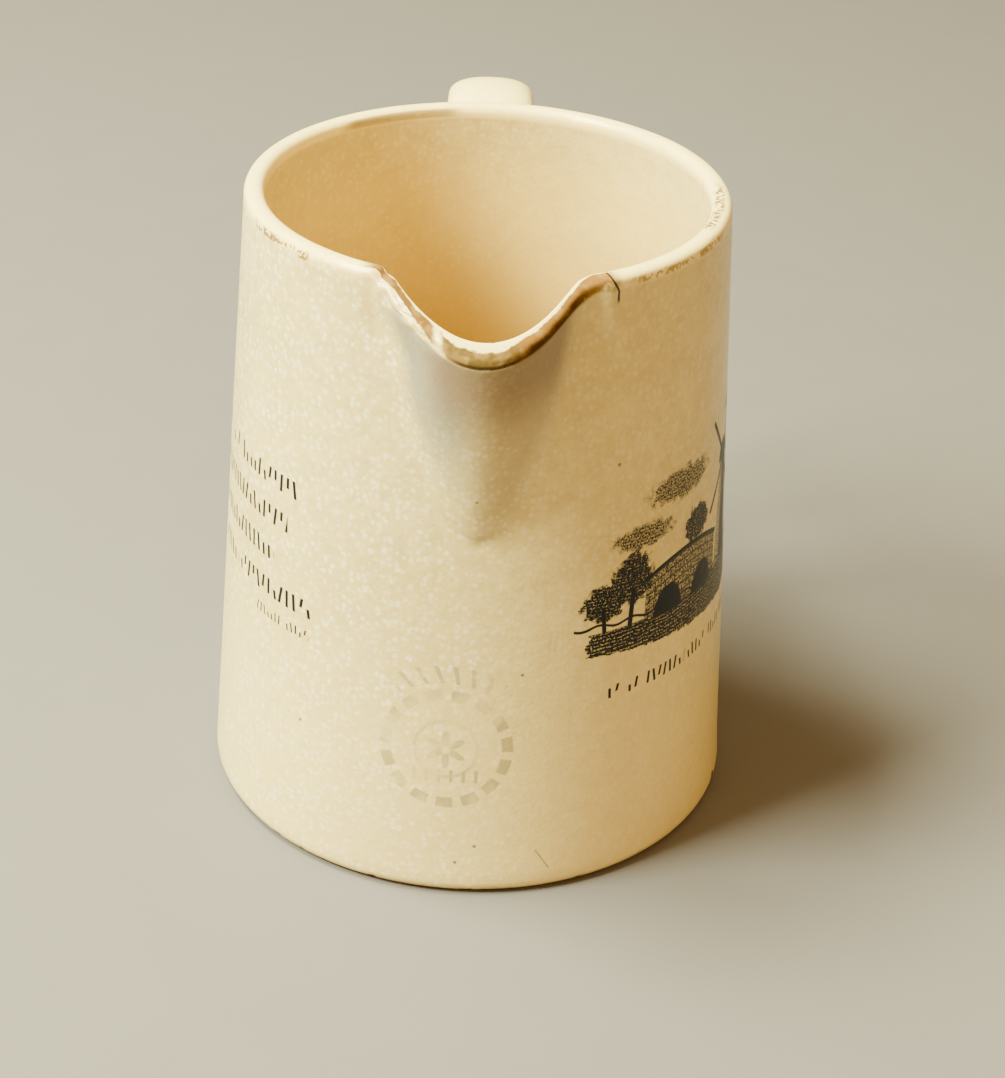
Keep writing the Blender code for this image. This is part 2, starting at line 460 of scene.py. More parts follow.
def body_form(tree, size):
    """The fired body: foot, wall with its beak, rim and lip, inner wall with its channel, and floor."""
    rows = sum(count for _, count in BODY_ROWS)
    sheet, column, row = grid(tree, COLUMNS, rows)

    turn = column * (2.0 * math.pi)
    angle = turn - 0.19 * sine(2.0 * turn)
    angle = angle - (angle > math.pi) * (2.0 * math.pi)
    away = abs(angle)
    notch = step(size.notch_angle - away, 0.0, size.notch_blend)
    corner = lip_corner(angle, size.corner_drop)
    outer_top = top_height(size, angle, away, notch, outside) - corner
    inner_top = top_height(size, angle, away, notch, inside) - corner
    outer_edge = outer_top - size.rim_round
    inner_edge = inner_top - size.rim_round

    share = {}
    begun = {}
    start = 0
    for name, count in BODY_ROWS:
        share[name] = between_0_and_1((row - float(start)) / float(count))
        begun[name] = row > start + 0.25
        start += count

    ring_outside = wall_radius(size, size.base_round) - size.base_round
    ring_inside = ring_outside - size.ring_width
    quarter = 0.5 * math.pi
    radius = share["recess"] * (ring_inside - size.recess_slope)
    radius = radius + share["recess_slope"] * size.recess_slope + share["ring"] * size.ring_width
    radius = radius + size.base_round * sine(share["heel"] * quarter)
    height = size.recess * (1.0 - step(share["recess_slope"], 0.0, 1.0))
    height = height + size.base_round * (1.0 - cosine(share["heel"] * quarter))

    # Outer wall with the beak
    up_wall = size.base_round + (size.spout_root - size.base_round) * share["lower_wall"]
    up_wall = up_wall + (outer_edge - size.spout_root) * share["beak_wall"] ** 1.15
    radius = choose(begun["lower_wall"], radius, outside(size, away, up_wall))
    height = choose(begun["lower_wall"], height, up_wall)

    # Rim and lip
    outer_radius = outside(size, away, outer_edge)
    inner_radius = inside(size, away, inner_edge)
    over = share["rim"] * math.pi
    fullness = size.rim_fullness - size.lip_squareness * notch
    across = signed_power(cosine(over), fullness)
    middle = 0.5 * (outer_radius + inner_radius)
    edge = 0.5 * (outer_edge * (1.0 + across) + inner_edge * (1.0 - across))
    crown = larger(sine(over), 0.0) ** fullness
    radius = choose(begun["rim"], radius, middle + 0.5 * (outer_radius - inner_radius) * across)
    height = choose(begun["rim"], height, edge + size.rim_round * crown)

    # Inner wall with the channel, and the floor
    floor = size.recess + size.floor
    floor_top = floor + size.floor_round
    fall = 1.0 - (1.0 - share["channel"]) ** 1.15
    down_wall = inner_edge + (size.channel_root - inner_edge) * fall
    down_wall = down_wall + (floor_top - size.channel_root) * share["inner_wall"]
    radius = choose(begun["channel"], radius, inside(size, away, down_wall))
    height = choose(begun["channel"], height, down_wall)
    corner_centre = wall_radius(size, floor_top) - size.wall - size.floor_round
    bend = share["floor_corner"] * quarter
    corner_radius = corner_centre * (1.0 - share["floor"]) + size.floor_round * cosine(bend)
    radius = choose(begun["floor_corner"], radius, corner_radius)
    height = choose(begun["floor_corner"], height, floor_top - size.floor_round * sine(bend))

    # The applied beak's rounded ear at its right end, and the lip's spread left corner
    on_face = 1.0 - begun["channel"]
    outward = on_face * (1.0 - 0.5 * begun["rim"] * (1.0 - across))
    below = outer_top - height
    ear = step(angle, 0.310, 0.455) * step(angle, 0.535, 0.505) * step(below, 0.007, 0.002)
    spread = step(angle, -0.50, -0.40) * step(angle, -0.17, -0.33) * step(below, 0.009, 0.001)
    thin = notch * step(below, 0.016, 0.002)
    radius = radius + outward * (ear * size.ear_rise + spread * size.lip_spread - thin * size.lip_thin)

    place = vector(tree, radius * sine(angle), size.axis_y - radius * cosine(angle), height)
    return placed(tree, sheet, place)


def handle_bends(size):
    """Bezier handles of the strap's middle line in its (outward, height) plane, top root to foot."""
    crest_height = size.height - size.handle_drop - 0.5 * size.handle_thick
    root_height = crest_height - size.handle_arch
    grip_height = crest_height - size.grip_drop
    root = (wall_radius(size, root_height) - size.handle_buried, root_height)
    grip = (wall_radius(size, grip_height) + size.finger_gap + 0.5 * size.handle_thick, grip_height)
    foot = (wall_radius(size, size.handle_foot) - size.handle_buried, size.handle_foot)
    crest = (root[0] + size.crest_share * (grip[0] - root[0]), crest_height)
    run = crest[0] - root[0]
    turn = grip[0] - crest[0]
    fall = grip[1] - foot[1]
    reach = grip[0] - foot[0]
    return (
        (
            root,
            (root[0] + size.root_bend * run, root[1] + 0.5 * size.handle_arch),
            (crest[0] - size.crest_bend * run, crest[1]),
            crest,
        ),
        (
            crest,
            (crest[0] + size.shoulder_bend * turn, crest[1]),
            (grip[0], grip[1] + size.shoulder_bend * size.grip_drop),
            grip,
        ),
        (
            grip,
            (grip[0], grip[1] - size.grip_bend * fall),
            (foot[0] + size.foot_out_bend * reach, foot[1] + size.foot_up_bend * fall),
            foot,
        ),
    )


def bend_lengths():
    """Length of each bend of the strap."""
    lengths = []
    for bend in handle_bends(JUG):
        points = interpolate_bezier(*[Vector(point) for point in bend], 60)
        lengths.append(sum((b - a).length for a, b in zip(points, points[1:])))
    return lengths


def on_bend(points, share):
    """A point on one Bezier bend, and the direction there."""
    rest = 1.0 - share
    early = rest * rest
    late = share * share
    weights = (early * rest, 3.0 * share * early, 3.0 * late * rest, late * share)
    slopes = (early, 2.0 * share * rest, late)
    place = []
    heading = []
    for axis in (0, 1):
        place.append(sum((weight * point[axis] for weight, point in zip(weights, points)), 0.0))
        steps = [after[axis] - before[axis] for before, after in zip(points, points[1:])]
        heading.append(sum((slope * jump for slope, jump in zip(slopes, steps)), 0.0))
    return place, heading


def handle_form(tree, size):
    """The strap, swept along its three bends from its top root to its foot."""
    sheet, column, row = grid(tree, HANDLE_COLUMNS, HANDLE_ROWS)
    lengths = bend_lengths()
    total = sum(lengths)
    along = between_0_and_1((row - 1.0) / float(HANDLE_ROWS - 2))
    opened = between_0_and_1(row) * between_0_and_1(float(HANDLE_ROWS) - row)

    ends = (lengths[0] / total, (lengths[0] + lengths[1]) / total)
    shares = (
        between_0_and_1(along / ends[0]),
        between_0_and_1((along - ends[0]) / (ends[1] - ends[0])),
        between_0_and_1((along - ends[1]) / (1.0 - ends[1])),
    )
    bends = handle_bends(size)
    (out, up), (heading_out, heading_up) = on_bend(bends[0], shares[0])
    for bend, share, begins in zip(bends[1:], shares[1:], ends):
        (next_out, next_up), (next_heading_out, next_heading_up) = on_bend(bend, share)
        later = along > begins
        out = choose(later, out, next_out)
        up = choose(later, up, next_up)
        heading_out = choose(later, heading_out, next_heading_out)
        heading_up = choose(later, heading_up, next_heading_up)

    # Close to the wall the strap turns square on to it and flares.
    to_end = smaller(along, 1.0 - along) * total
    free = step(to_end, 0.0, size.flare_length)
    flare = size.handle_flare * (1.0 - free)
    length = square_root(heading_out * heading_out + heading_up * heading_up)
    square_on = 1.0 - 2.0 * (along > 0.5)
    heading_out = choose(free, square_on, heading_out / length)
    heading_up = free * heading_up / length
    length = square_root(heading_out * heading_out + heading_up * heading_up)
    heading_out = heading_out / length
    heading_up = heading_up / length

    turn = column * (-2.0 * math.pi)
    power = 2.0 / size.handle_squareness
    half_width = 0.5 * (size.handle_width + (size.handle_end_width - size.handle_width) * along + flare)
    half_thick = 0.5 * (size.handle_thick + (size.handle_end_thick - size.handle_thick) * along + flare)
    wide = half_width * signed_power(cosine(turn), power) * opened
    thick = half_thick * signed_power(sine(turn), power) * opened
    place = vector(tree, wide, size.axis_y + out - heading_up * thick, up + heading_out * thick)
    return placed(tree, sheet, place)


def joined(tree, body, handle):
    """Body and handle as one skin, with the clay smoothed into the corner between them."""
    settings = {"operation": "UNION", "solver": "EXACT"}
    union = tree.node("GeometryNodeMeshBoolean", settings, {"Mesh 2": [body, handle]})
    given = {"Value": union.other("Intersecting Edges"), "Iterations": 5, "Weight": 1.0}
    near = tree.node("GeometryNodeBlurAttribute", {"data_type": "FLOAT"}, given)
    place = tree.node("GeometryNodeInputPosition")
    given = {"Value": place, "Iterations": 9, "Weight": between_0_and_1(near * 6.0)}
    soft = tree.node("GeometryNodeBlurAttribute", {"data_type": "FLOAT_VECTOR"}, given)
    return tree.node("GeometryNodeSetPosition", None, {"Geometry": union, "Position": soft})


def below_rim(size, angle_away, forward, z):
    """How far a point lies below the top of the rim or lip."""
    notch = step(size.notch_angle - angle_away, 0.0, size.notch_blend)
    return size.height - z - notch * size.lip_slope * larger(forward - size.lip_start, 0.0)


def worn(tree, size, mesh):
    """Presses the wobble of the wall, the chips and the nicks into the skin, never out of it."""
    place = tree.node("GeometryNodeInputPosition")
    x, y, z = parts(tree, place)
    forward = size.axis_y - y
    angle = math_of("ARCTAN2", x, forward)
    away = abs(angle)
    depth = below_rim(size, away, forward, z)
    edge = step(depth, 0.0032, 0.0006) * step(forward * -1.0, 0.0440, 0.0400)

    slow = step(noise(tree, place, 28.0, 2.0), 0.25, 0.75)
    ragged = noise(tree, place, 420.0, 3.0, 0.6)
    nick = step(noise(tree, place, 260.0, 2.0), 0.66, 0.78) * edge
    on_lip = step(angle, -0.47, -0.40) * step(angle, -0.10, -0.22) * step(depth, 0.0036, 0.0018)
    radius = square_root(x * x + forward * forward)
    outer = step(radius - inside(size, away, z), 0.0020, 0.0034)
    lip_chip = on_lip * outer * step(ragged, 0.42, 0.56)
    foot = step(z, 0.0022, 0.0004) * step(noise(tree, place, 330.0, 2.0), 0.64, 0.74)

    pressed = 0.00002 + slow * size.wobble * step(z, 0.0, 0.01) + nick * size.chip_depth
    pressed = pressed + lip_chip * size.lip_chip_depth + foot * size.chip_depth
    normal = tree.node("GeometryNodeInputNormal")
    push = tree.node("ShaderNodeVectorMath", {"operation": "SCALE"}, {0: normal, "Scale": pressed * -1.0})
    return tree.node("GeometryNodeSetPosition", None, {"Geometry": mesh, "Offset": push})


def place_round_axis(tree, size):
    """The distance in front of the jug's axis, from the axis and up, and the angle from the front."""
    x, y, z = parts(tree, tree.node("GeometryNodeInputPosition"))
    forward = size.axis_y - y
    return forward, square_root(x * x + forward * forward), z, math_of("ARCTAN2", x, forward)


def print_areas(tree, size):
    """The outside faces that carry the verse, the view and the etched mark."""
    _, radius, z, angle = place_round_axis(tree, size)
    wall = wall_radius(size, z)
    around = angle * wall * MM
    up = z * MM
    outer = abs(radius - wall) < PRINT_PROUD
    areas = []
    for left, right, low, high in (VERSE_AREA, VIEW_AREA, MARK_AREA):
        areas.append(outer * (around > left) * (around < right) * (up > low) * (up < high) > 0.5)
    return areas


def worn_area(tree, size):
    """The faces of the rim, the beak and the foot."""
    forward, radius, z, angle = place_round_axis(tree, size)
    away = abs(angle)
    depth = below_rim(size, away, forward, z)
    outer = radius > inside(size, away, z) + 0.001
    beak_side = outer * (away < WORN.beak_angle) * (depth < WORN.beak_depth)
    return (depth < WORN.rim_depth) + beak_side + (z < WORN.foot_height) > 0.5


def make_jug(plain_glaze, worn_and_shaded_glaze, print_glazes):
    """Runs the shape tree once and keeps its result as a plain mesh."""
    sizes = dict(vars(JUG))
    sizes.update(vars(WEAR))
    tree, size, numbers = new_shape("jug_shape", sizes)
    mesh = joined(tree, body_form(tree, size), handle_form(tree, size))
    mesh = worn(tree, size, mesh)
    mesh = tree.node("GeometryNodeSetShadeSmooth", None, {"Geometry": mesh})
    mesh = tree.node("GeometryNodeRealizeInstances", None, {"Geometry": mesh})
    mesh = tree.node("GeometryNodeSetMaterial", None, {"Geometry": mesh, "Material": plain_glaze})
    given = {"Geometry": mesh, "Selection": worn_area(tree, size), "Material": worn_and_shaded_glaze}
    mesh = tree.node("GeometryNodeSetMaterial", None, given)
    for area, glaze in zip(print_areas(tree, size), print_glazes):
        given = {"Geometry": mesh, "Selection": area, "Material": glaze}
        mesh = tree.node("GeometryNodeSetMaterial", None, given)
    tree.node("NodeGroupOutput", None, {"Mesh": mesh})

    jug = bpy.data.objects.new("ale_jug", bpy.data.meshes.new("ale_jug"))
    bpy.context.scene.collection.objects.link(jug)
    shape = jug.modifiers.new("jug_shape", "NODES")
    shape.node_group = tree.nodes
    for identifier, number in numbers.items():
        shape[identifier] = number
    bpy.context.view_layer.update()
    plain = bpy.data.meshes.new_from_object(jug.evaluated_get(bpy.context.evaluated_depsgraph_get()))
    jug.modifiers.clear()
    jug.data = plain
    plain.name = "ale_jug"
    return jug


# The glaze, the print, the wear, and painted light and shade


def blend(mask, under, over):
    """One colour laid over another where the mask is 1."""
    given = {0: mask, 6: under, 7: over}
    return mask.tree.node("ShaderNodeMix", {"data_type": "RGBA"}, given, 2)


def band(value, low, high, soft):
    """1 where the value lies between low and high, with soft ends."""
    return step(value, low - soft, low + soft) * step(value, high + soft, high - soft)


def where_on_jug(tree):
    """Where a point of the glaze lies, in mm, but in metres for place and forward."""
    source = tree.node("ShaderNodeTexCoord")
    place = source.other("Object")
    x, y, z = parts(tree, place)
    forward = JUG.axis_y - y
    angle = math_of("ARCTAN2", x, forward)
    radius = square_root(x * x + forward * forward)
    wall = wall_radius(JUG, z)
    normal_x, normal_y, _ = parts(tree, source.other("Normal"))
    facing = (normal_x * x - normal_y * forward) / larger(radius, 0.001)
    depth = below_rim(JUG, abs(angle), forward, z)
    thin = WEAR.lip_thin * step(abs(angle), JUG.notch_angle, JUG.notch_angle - JUG.notch_blend)
    inner = inside(JUG, abs(angle), z)
    outer = outside(JUG, abs(angle), z) - thin * step(depth, 0.016, 0.002)
    return SimpleNamespace(
        place=place,
        side=x * MM,
        angle=angle,
        away=abs(angle),
        across=(radius - inner) / (outer - inner),
        up=z * MM,
        around=angle * wall * MM,
        forward=forward,
        proud=(radius - wall) * MM,
        depth=depth * MM,
        outside=step(facing, 0.1, 0.5) * step(radius - wall, -0.0024, -0.0016),
        inside=step(wall - radius, 0.0016, 0.0026) * step(facing, 0.35, -0.1),
    )


def lines(value, pitch, share, soft=0.12):
    """Even pen lines: 1 on the line, 0 between two of them."""
    place = abs(part_of(value / pitch) - 0.5) * 2.0
    return step(place, share + soft, share - soft)


def strokes(tree, around, up, left, right, low, height, pen, seed):
    """A row of short upright pen strokes in word-like groups. They aren't letters."""
    spacing = 1.95 * pen + 0.34
    place = around / spacing
    cell = whole(place)
    given = {"Vector": vector(tree, cell, seed, 0.0)}
    pick = tree.node("ShaderNodeTexWhiteNoise", {"noise_dimensions": "2D"}, given)
    split = tree.node("ShaderNodeSeparateColor", None, {0: pick.other("Color")})
    slant = (split - 0.5) * 1.1
    tall = 0.55 + 0.45 * step(split.other("Green"), 0.2, 0.6)
    word = step(split.other("Blue"), 0.13, 0.15)
    level = (up - low) / height
    off = (part_of(place) - 0.5) * spacing - slant * (level - 0.5) * height * 0.42
    mark = step(abs(off), 0.62 * pen, 0.38 * pen) * word
    foot = (1.0 - tall) * (split > 0.5)
    head = foot + tall
    mark = mark * step(level, foot - 0.02, foot + 0.05) * step(level, head + 0.03, head - 0.04)
    return mark * (around > left) * (around < right)


def verse(tree, spot):
    """Rows of strokes on the left of the jug, where the real one has a printed verse."""
    row = whole((VERSE_TOP - spot.up) / VERSE_PITCH)
    low = VERSE_TOP - VERSE_PITCH * (row + 1.0) + 0.6
    right = VERSE_ROW_ENDS[0]
    for number, (above, below) in enumerate(zip(VERSE_ROW_ENDS, VERSE_ROW_ENDS[1:])):
        right = right + (below - above) * (row > number + 0.5)
    rows = strokes(tree, spot.around, spot.up, -98.0, right, low, 3.4, 0.74, row * 1.9 + 3.7)
    rows = rows * (row > -0.5) * (row < len(VERSE_ROW_ENDS) - 0.5)
    signed = strokes(tree, spot.around, spot.up, -47.1, -31.0, 45.0, 1.9, 0.40, 15.1)
    return larger(rows, signed)


def blot(spot, centre, size, ragged, soft=0.10):
    """A rounded patch with a ragged edge."""
    off_x = (spot.around - centre[0]) / size[0]
    off_y = (spot.up - centre[1]) / size[1]
    return step(square_root(off_x * off_x + off_y * off_y) + ragged, 1.0 + soft, 1.0 - soft)


def blots(spot, patches, ragged, soft=0.10):
    return largest(*[blot(spot, centre, size, ragged, soft) for centre, size in patches])


def panel(spot, left, right, low, high, soft=0.14):
    return band(spot.around, left, right, soft) * band(spot.up, low, high, soft)


def dots(spot, places, size):
    """Specks of dirt at given places."""
    nearest = None
    for place in places:
        off_x = spot.around - place[0]
        off_y = spot.up - place[1]
        gap = off_x * off_x + off_y * off_y
        nearest = gap if nearest is None else smaller(nearest, gap)
    return step(nearest, 1.6 * size * size, 0.5 * size * size)


def pen_line(spot, start, end, width):
    """A straight pen line between two points."""
    run = Vector(end) - Vector(start)
    length = run.length
    run = run / length
    off_x = spot.around - start[0]
    off_y = spot.up - start[1]
    along = smaller(larger(off_x * run.x + off_y * run.y, 0.0), length)
    gap_x = off_x - along * run.x
    gap_y = off_y - along * run.y
    return step(square_root(gap_x * gap_x + gap_y * gap_y), 0.65 * width, 0.35 * width)


def stream(spot, ragged, grain):
    """Rippled water, and the line of the bank behind it."""
    low = 43.6 + 0.08 * abs(spot.around - 62.0) + ragged * 1.6
    water = panel(spot, 20.5 + ragged * 4.0, 101.0 + ragged * 4.0, low, 51.4)
    ripples = larger(lines(spot.up + ragged * 0.8, 0.72, 0.55), step(grain, 0.44, 0.52))
    bank = 52.0 + 0.35 * sine(spot.around * 0.9) - 0.02 * (spot.around - 60.0)
    shore = panel(spot, 17.8, 104.0, bank - 0.40 + 0.3 * ragged, bank + 0.15)
    return larger(water * (0.50 + 0.5 * ripples), shore)


def bridge_wall(spot, fall, grain):
    """The stones of a bridge whose parapet falls away from its middle."""
    wall = panel(spot, 32.5, 55.5, 50.6, PARAPET - fall)
    joints = lines(spot.around + 1.2 * whole(spot.up / 1.5), 2.6, 0.14)
    stones = largest(lines(spot.up + fall, 1.5, 0.20), joints, step(grain, 0.44, 0.56))
    return wall * (stones * 0.45 + 0.45)


def tree_group(spot, ragged, level_lines, grain):
    leaves = larger(step(grain, 0.36, 0.46), 0.55 + 0.3 * level_lines)
    trunks = [pen_line(spot, start, end, width) for start, end, width in TRUNKS]
    return largest(blots(spot, TREES, ragged * 0.8) * leaves, *trunks)


def windmill(spot, grain):
    taper = (spot.up - 52.0) / 21.0
    tower = panel(spot, 56.0 + 1.9 * taper, 64.4 - 1.9 * taper, 51.2, 71.6)
    steep_lines = lines(spot.around * 0.9 + spot.up * 0.35, 0.60, 0.45)
    shade = largest(step(spot.around, 57.4, 60.4), 0.8 * steep_lines, step(grain, 0.50, 0.60))
    cap = blot(spot, (60.2, 71.4), (3.4, 3.4), 0.0, 0.06) * step(spot.up, 70.8, 71.2)
    sails = [pen_line(spot, start, end, 0.95) for start, end in SAILS]
    return largest(tower * shade, cap, *sails)


def country_view(tree, spot):
    """A printed view on the right: a stone bridge over a stream, trees, a mill and clouds."""
    flat = vector(tree, spot.around, spot.up, 0.0)
    ragged = (noise(tree, flat, 0.62, 3.0, 0.65) - 0.5) * 1.5
    grain = noise(tree, flat, 2.6, 2.0, 0.6)
    level_lines = lines(spot.up + 0.05 * spot.around + 0.5 * ragged, 0.62, 0.42)
    off_middle = (spot.around - 44.0) / 14.0
    fall = 3.4 * off_middle * off_middle

    ink = larger(stream(spot, ragged, grain), bridge_wall(spot, fall, grain))
    arches = blots(spot, ARCHES, 0.0, 0.04) * step(spot.up, 50.2, 50.6)
    ink = choose(arches, ink, 0.98)
    coping = panel(spot, 32.0, 56.0, PARAPET - 0.55 - fall, PARAPET + 0.30 - fall)
    trees = tree_group(spot, ragged, level_lines, grain)
    cloud_ink = larger(0.45 + 0.3 * level_lines, 0.92 * step(grain, 0.44, 0.54))
    clouds = blots(spot, CLOUDS, ragged, 0.2) * cloud_ink
    bushes = blots(spot, BUSHES, ragged * 0.8) * larger(step(grain, 0.38, 0.50), 0.6)
    caption = strokes(tree, spot.around, spot.up, 24.9, 95.0, 37.6, 2.6, 0.58, 41.3)
    return between_0_and_1(largest(ink, coping, trees, windmill(spot, grain), clouds, bushes, caption))


def ticks(value, pitch, half, core):
    """Short even marks: 1 within core of a mark's middle, 0 past half, both as shares of the pitch."""
    return step(abs(part_of(value / pitch) - 0.5), half, core)


def etched_mark(spot, patchy):
    """A faint mark low on the front: a ring of dashes round a plain rosette, with strokes."""
    off_x = spot.around - MARK_MIDDLE[0]
    off_y = spot.up - MARK_MIDDLE[1]
    reach = square_root(off_x * off_x + off_y * off_y)
    turn = math_of("ARCTAN2", off_x, off_y)
    dashes = step(abs(reach - DASH_RING), 1.25, 0.85) * ticks(turn, math.tau / DASHES, 0.36, 0.30)
    petals = step(reach - 2.4 - 1.3 * cosine(turn * 6.0), 0.4, -0.2) * step(reach, 0.7, 1.1)
    hoop = step(abs(reach - HOOP), 0.45, 0.20)
    slanted = turn * 15.2 + 0.3 * (reach - 15.2)
    upper = step(abs(reach - UPPER_STROKES), 1.9, 1.6) * ticks(slanted, 3.1, 0.16, 0.11)
    upper = upper * step(abs(turn), 0.70, 0.66)
    lower = step(abs(off_y + 5.4), 1.4, 1.1) * ticks(off_x, 2.2, 0.17, 0.12) * step(abs(off_x), 6.2, 6.0)
    mark = largest(dashes, petals, upper, lower, hoop * 0.6)
    uneven = 0.35 + 0.65 * step(patchy, 0.34, 0.56)
    return mark * spot.outside * uneven * step(abs(spot.around), 24.0, 22.0)


def new_material(name):
    """A new material, and the node tree that its nodes go into."""
    material = bpy.data.materials.new(name)
    material.use_nodes = True
    material.node_tree.nodes.clear()
    return material, Tree(material.node_tree)


def finish_material(tree, shader):
    tree.node("ShaderNodeOutputMaterial", None, {"Surface": shader})


def cream_glaze(tree, spot, within=True):
    """Colour of the old glaze, mottled, flecked and crazed, painted paler low on the outside as painted
    glare, and stained amber within with painted warm light and shade; and its grain.
    """
    slow = noise(tree, spot.place, 24.0, 2.0, 0.55)
    medium = noise(tree, spot.place, 300.0, 2.0, 0.6)
    fine = noise(tree, spot.place, 1500.0, 1.0, 0.6)
    patchy = noise(tree, spot.place, 130.0, 2.0, 0.6)
    colour = blend(step(slow, 0.30, 0.70), COLOUR.cream, COLOUR.pale_cream)
    colour = blend(step(medium, 0.36, 0.68) * 0.34, colour, COLOUR.mottle)
    colour = blend(step(fine, 0.50, 0.25) * 0.30, colour, COLOUR.pits)
    # Painted glare: the outside wall is painted paler towards its foot, as a painted highlight.
    colour = blend(step(spot.up, 75.0, 10.0) * spot.outside * 0.60, colour, COLOUR.lower_wall)

    # Round pale flecks where the glaze has crawled, painted stronger on the left as painted sheen where
    # the light falls
    flecks = tree.node("ShaderNodeTexVoronoi", {"feature": "F1"}, {"Vector": spot.place, "Scale": 860.0})
    chosen = tree.node("ShaderNodeSeparateColor", None, {0: flecks.other("Color")})
    pearls = step(flecks + (fine - 0.5) * 0.9, 0.68, 0.12) * step(chosen, 0.0, 0.80)
    pearls = pearls * step(patchy, 0.15, 0.55) * (0.22 + 0.46 * step(spot.side, 16.0, -9.0))
    if within:
        pearls = pearls * (1.0 - 0.5 * spot.inside)
    colour = blend(pearls, colour, COLOUR.fleck)
    if within:
        # Inside, a warm amber stain, also painted: warmer painted light near the top and darker painted
        # shade deeper down.
        colour = blend(spot.inside * step(spot.depth, 2.0, 18.0) * 0.50, colour, COLOUR.tea)
        colour = blend(spot.inside * step(spot.depth, 14.0, 62.0) * 0.80, colour, COLOUR.deep_amber_stain_and_shade)

    # Crazing
    given = {"Vector": spot.place, "Scale": 230.0}
    net = tree.node("ShaderNodeTexVoronoi", {"feature": "DISTANCE_TO_EDGE"}, given)
    craze = step(net, 0.030, 0.008) * step(patchy, 0.52, 0.66)
    colour = blend(craze * 0.20, colour, COLOUR.craze)
    ragged = (medium - 0.5) * 0.8 + (fine - 0.5) * 0.25
    return colour, SimpleNamespace(medium=medium, fine=fine, patchy=patchy, ragged=ragged)


def specks(tree, spot, colour, known):
    """Specks of iron and dirt, at random and at the known places."""
    spots = tree.node("ShaderNodeTexVoronoi", {"feature": "F1"}, {"Vector": spot.place, "Scale": 125.0})
    picked = tree.node("ShaderNodeSeparateColor", None, {0: spots.other("Color")})
    speck = step(spots, 0.060, 0.034) * step(picked, 0.94, 0.96)
    if known:
        speck = larger(speck, dots(spot, known, SPECKS.radius) * spot.outside)
    return blend(speck * 0.8, colour, COLOUR.speck)


def grain_bump(tree, grain):
    height = grain.fine * 0.5 + grain.medium
    return tree.node("ShaderNodeBump", None, {"Height": height, "Strength": 0.6, "Distance": 0.00010})


def glossy(tree, colour, roughness, coat, bump):
    """Shader of the glaze, under a thin glossier coat."""
    given = {
        "Base Color": colour,
        "Roughness": roughness,
        "Normal": bump,
        "Coat Weight": coat,
        "Coat Roughness": 0.16,
        "Specular IOR Level": 0.22,
    }
    return tree.node("ShaderNodeBsdfPrincipled", None, given)


def handle_painted_light(spot):
    """How far the handle is painted brighter, as a painted highlight."""
    return step(spot.proud, 3.0, 6.0) * step(spot.forward, 0.0, -0.02)


def make_plain_glaze():
    """The glaze inside, at the back, on the handle and between the prints."""
    material, tree = new_material("cream_glaze")
    spot = where_on_jug(tree)
    colour, grain = cream_glaze(tree, spot)
    colour = specks(tree, spot, colour, SPECKS.plain)
    # Painted highlight: the handle is painted brighter.
    colour = blend(handle_painted_light(spot) * 0.75, colour, COLOUR.painted_highlight)
    finish_material(tree, glossy(tree, colour, 0.26 + 0.10 * grain.fine, 0.32, grain_bump(tree, grain)))
    return material


def make_printed_glaze(name, draw, known):
    """The glaze over a print in blue-black ink, which draw gives."""
    material, tree = new_material(name)
    spot = where_on_jug(tree)
    colour, grain = cream_glaze(tree, spot, within=False)
    colour = specks(tree, spot, colour, known)
    ink = draw(tree, spot) * spot.outside * step(abs(spot.proud), 0.9, 0.6)
    colour = blend(ink, colour, COLOUR.ink)
    colour = blend(step(ink, 0.70, 0.95), colour, COLOUR.dense_ink)
    roughness = 0.26 + 0.10 * grain.fine + 0.06 * ink
    finish_material(tree, glossy(tree, colour, roughness, 0.32 * (1.0 - ink), grain_bump(tree, grain)))
    return material


def make_etched_glaze():
    """The glaze with the mark that is etched into its front."""
    material, tree = new_material("etched_glaze")
    spot = where_on_jug(tree)
    colour, grain = cream_glaze(tree, spot, within=False)
    colour = specks(tree, spot, colour, SPECKS.mark)
    mark = etched_mark(spot, grain.patchy)
    colour = blend(mark * 0.85, colour, COLOUR.etched)
    roughness = 0.26 + 0.10 * grain.fine + 0.14 * mark
    finish_material(tree, glossy(tree, colour, roughness, 0.32, grain_bump(tree, grain)))
    return material


def beak_shade_and_stains(spot, colour, grain):
    """Painted grey shade on the left of the beak, a brown stain with painted shade on its right, painted
    shade under the lip, and a brown run of stain below it.
    """
    swell = step(spot.proud, -0.2, 3.2) * spot.outside * step(spot.forward, 0.0, 0.02)
    # Painted shade: the left of the beak is painted darker and greyer, with a cool painted reflection.
    painted_left_shade = swell * step(spot.angle, 0.06, -0.12) * step(spot.depth, 40.0, 12.0)
    colour = blend(painted_left_shade * 0.84, colour, COLOUR.painted_grey_shade)
    # The right of the beak is painted browner: partly a real stain, partly painted shade.
    colour = blend(swell * step(spot.angle, -0.10, 0.14) * 0.50, colour, COLOUR.brown_stain_and_shade)
    # Painted shade under the lip: the beak just below it is painted dark brown.
    below_lip = swell * step(spot.angle, -0.23, -0.10) * step(spot.depth, 22.0, 7.0)
    colour = blend(below_lip * 0.68, colour, COLOUR.painted_lip_shade)
    run = step(abs(spot.around + 3.2 + (grain.medium - 0.5) * 9.0), 6.0, 0.5) * step(spot.depth, 1.6, 4.0)
    run = run * step(spot.depth, 17.0, 6.0) * spot.outside
    return blend(run * (0.35 + 0.5 * step(grain.fine, 0.50, 0.72)), colour, COLOUR.run)


